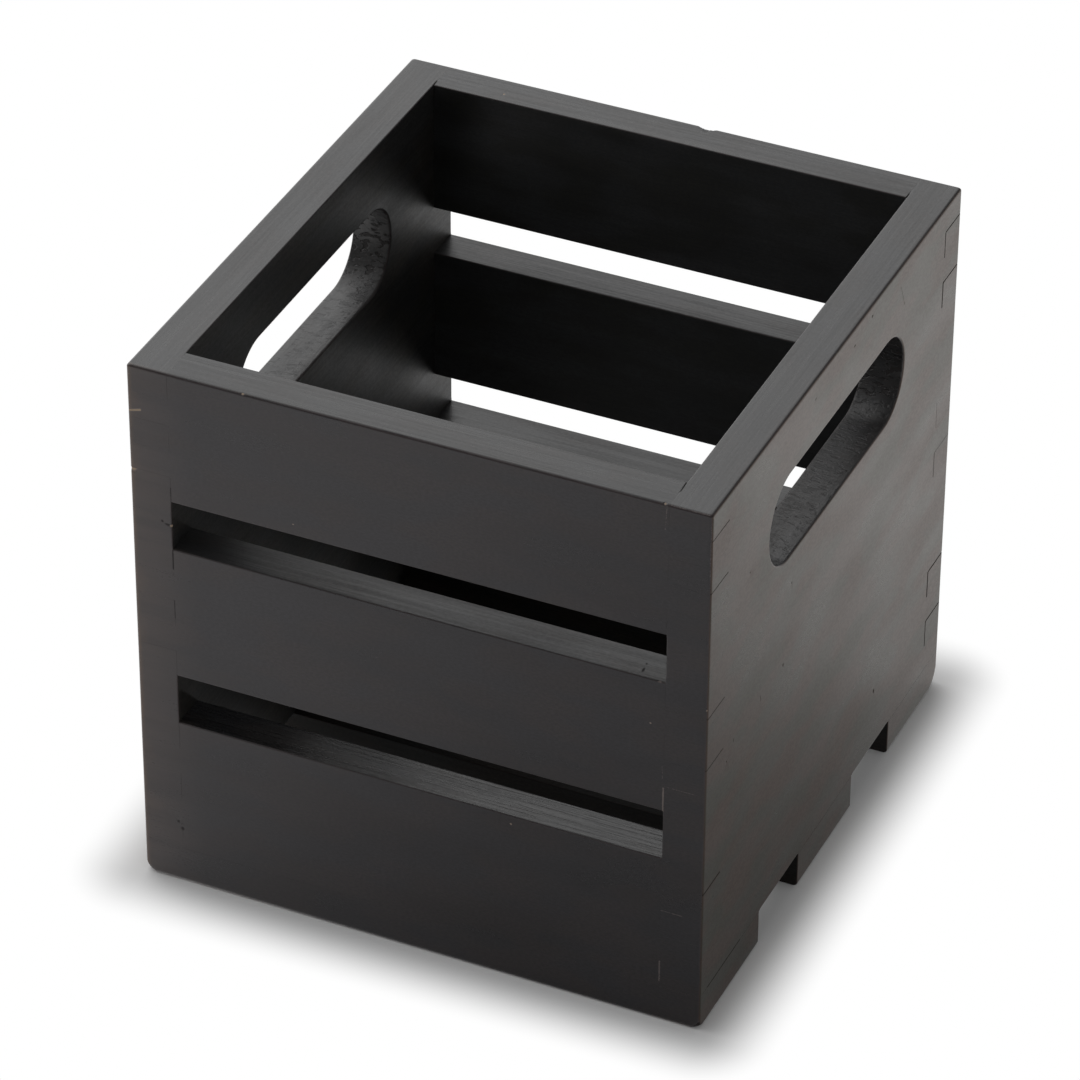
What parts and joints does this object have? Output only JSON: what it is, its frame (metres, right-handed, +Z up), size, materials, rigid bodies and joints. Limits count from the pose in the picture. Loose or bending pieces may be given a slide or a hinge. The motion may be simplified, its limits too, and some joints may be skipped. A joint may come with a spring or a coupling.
{
  "type": "wooden display crate",
  "caption": "Small open-topped box-jointed display crate of black-stained wood, with slatted front and back, a gapped board bottom and a hand hole in each side panel.",
  "frame": {"origin": "centre of the footprint, on the surface that the crate stands on", "axes": "+X to the right side panel seen from the front, +Y from the front slats to the back slats, +Z up"},
  "size_m": [0.16, 0.1676, 0.161],
  "materials": {
    "panel_wood": "black stain over fine straight grain, satin, brownish where thin",
    "slat_wood": "black stain over fine straight grain, satin",
    "board_wood": "black stain over fine straight grain, satin",
    "brad_steel": "plain bright steel wire"
  },
  "bodies": {
    "root": {"left_side_panel": "panel_wood", "right_side_panel": "panel_wood", "front_top_slat": "slat_wood", "front_middle_slat": "slat_wood", "front_bottom_slat": "slat_wood", "back_top_slat": "slat_wood", "back_middle_slat": "slat_wood", "back_bottom_slat": "slat_wood", "front_bottom_board": "board_wood", "middle_bottom_board": "board_wood", "back_bottom_board": "board_wood", "front_board_left_brad_1": "brad_steel", "front_board_left_brad_2": "brad_steel", "front_board_right_brad_1": "brad_steel", "front_board_right_brad_2": "brad_steel", "middle_board_left_brad_1": "brad_steel", "middle_board_left_brad_2": "brad_steel", "middle_board_right_brad_1": "brad_steel", "middle_board_right_brad_2": "brad_steel", "back_board_left_brad_1": "brad_steel", "back_board_left_brad_2": "brad_steel", "back_board_right_brad_1": "brad_steel", "back_board_right_brad_2": "brad_steel"}
  },
  "joints": []
}
